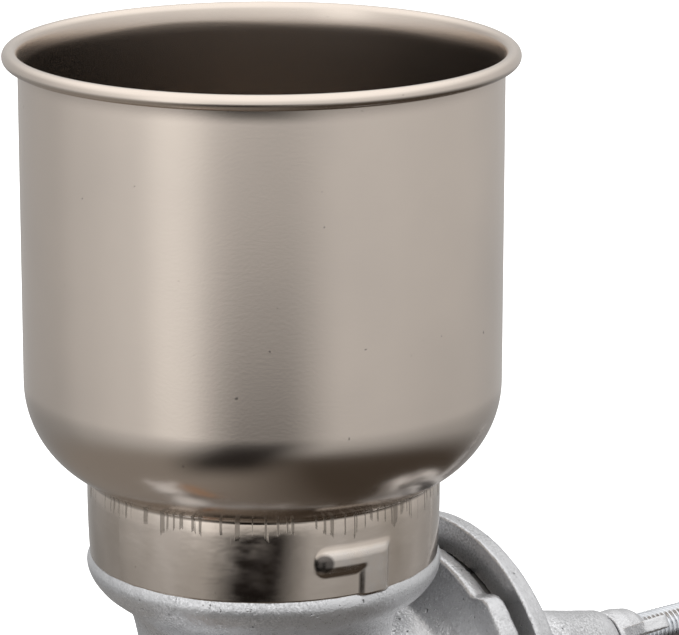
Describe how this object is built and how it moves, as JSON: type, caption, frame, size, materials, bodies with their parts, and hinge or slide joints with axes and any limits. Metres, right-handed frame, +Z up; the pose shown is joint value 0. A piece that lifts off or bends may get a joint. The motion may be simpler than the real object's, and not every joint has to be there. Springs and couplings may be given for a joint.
{
  "type": "hand crank coffee grinder",
  "caption": "Table-clamped hand mill: open steel hopper over a tinned cast body with feed auger, grinding plates, adjusting yoke and side crank.",
  "frame": {"origin": "on the table face of the upper clamp jaw, straight below the centre of the hopper", "axes": "+Z up along the hopper axis, +X along the mill axis towards the grinding plates, crank on the -X side, clamp open towards +X"},
  "size_m": [0.3881, 0.17, 0.4403],
  "materials": {
    "tinned_casting": "rough hot-tinned sand casting",
    "tinned_hardware": "smoother tinned small castings",
    "hopper_steel": "satin drawn stainless sheet",
    "plate_iron": "bare cast and ground faces",
    "zinc_steel": "bright zinc plated",
    "screw_steel": "plain turned steel",
    "bearing_steel": "polished",
    "grip_wood": "turned hardwood, thin varnish"
  },
  "bodies": {
    "mill": {"body_casting": "tinned_casting", "fixed_grinding_plate": "plate_iron", "fixed_plate_screws": "screw_steel", "yoke_frame": "tinned_casting", "yoke_bolt_washers": "zinc_steel", "yoke_wing_bolts": "tinned_hardware"},
    "hopper": {"hopper": "hopper_steel"},
    "thrust": {"thrust_ball": "bearing_steel"},
    "adjuster": {"adjusting_screw": "zinc_steel", "adjusting_screw_wings": "tinned_hardware", "adjusting_wing_pin": "screw_steel"},
    "crank": {"auger": "tinned_casting", "disc_drive_pin": "screw_steel", "rotating_disc": "tinned_casting", "moving_grinding_plate": "plate_iron", "moving_plate_rivets": "screw_steel", "crank_arm": "tinned_casting", "crank_washer": "zinc_steel", "crank_wing_screw": "tinned_hardware", "grip_spindle": "zinc_steel", "grip_washer": "zinc_steel"},
    "grip": {"crank_grip": "grip_wood"},
    "lock_nut": {"lock_wing_nut": "tinned_hardware"},
    "clamp_foot": {"clamp_foot": "tinned_hardware"},
    "clamp_screw": {"clamp_screw": "zinc_steel", "clamp_screw_wings": "tinned_hardware", "clamp_wing_pin": "screw_steel"}
  },
  "joints": [
    {"name": "hopper_twist", "type": "hinge", "parent": "mill", "child": "hopper", "pos_m": [0, 0, 0.1622], "axis": [0, 0, 1], "range_deg": [-17, 0]},
    {"name": "adjust_feed", "type": "slide", "parent": "mill", "child": "thrust", "axis": [1, 0, 0], "range_m": [0, 0.003]},
    {"name": "adjust_turn", "type": "hinge", "parent": "thrust", "child": "adjuster", "pos_m": [0.095, 0, 0.105], "axis": [1, 0, 0], "range_deg": [0, 618]},
    {"name": "crank_spin", "type": "hinge", "parent": "thrust", "child": "crank", "pos_m": [0, 0, 0.105], "axis": [1, 0, 0], "continuous": true},
    {"name": "grip_spin", "type": "hinge", "parent": "crank", "child": "grip", "pos_m": [-0.13, 0, -0.073], "axis": [1, 0, 0], "continuous": true},
    {"name": "lock_nut_turn", "type": "hinge", "parent": "mill", "child": "lock_nut", "pos_m": [0.1318, 0, 0.105], "axis": [1, 0, 0], "range_deg": [0, 90]},
    {"name": "clamp_feed", "type": "slide", "parent": "mill", "child": "clamp_foot", "axis": [0, 0, 1], "range_m": [0, 0.036]},
    {"name": "clamp_turn", "type": "hinge", "parent": "clamp_foot", "child": "clamp_screw", "pos_m": [0.02, 0, -0.051], "axis": [0, 0, 1], "range_deg": [0, 7406]}
  ],
  "couplings": [
    {"joint": "adjust_turn", "follows": "adjust_feed", "rad_per_m": 3590.4},
    {"joint": "clamp_turn", "follows": "clamp_feed", "rad_per_m": 3590.4}
  ]
}
